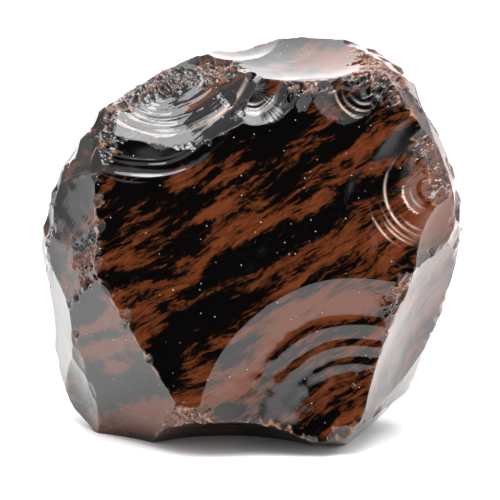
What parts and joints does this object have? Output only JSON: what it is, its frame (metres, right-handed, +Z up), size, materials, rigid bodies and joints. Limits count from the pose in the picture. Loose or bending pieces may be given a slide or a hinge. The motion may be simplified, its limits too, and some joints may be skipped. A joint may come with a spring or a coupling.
{
  "type": "obsidian chunk",
  "caption": "Rough hand-size chunk of mahogany obsidian with a broad glassy front face, conchoidal break scars and chipped ridges, resting on a flat base; for display or as raw stone",
  "frame": {"origin": "the middle of the stone's outline box, at the height of the flat base it rests on", "axes": "+Z up, +X to the right across the broad front face, -Y out of the broad front face"},
  "size_m": [0.1065, 0.0615, 0.0989],
  "materials": {
    "mahogany_obsidian": "glassy broken surface with a polished look, black and red-brown flow bands"
  },
  "bodies": {
    "root": {"obsidian_chunk": "mahogany_obsidian"}
  },
  "joints": []
}
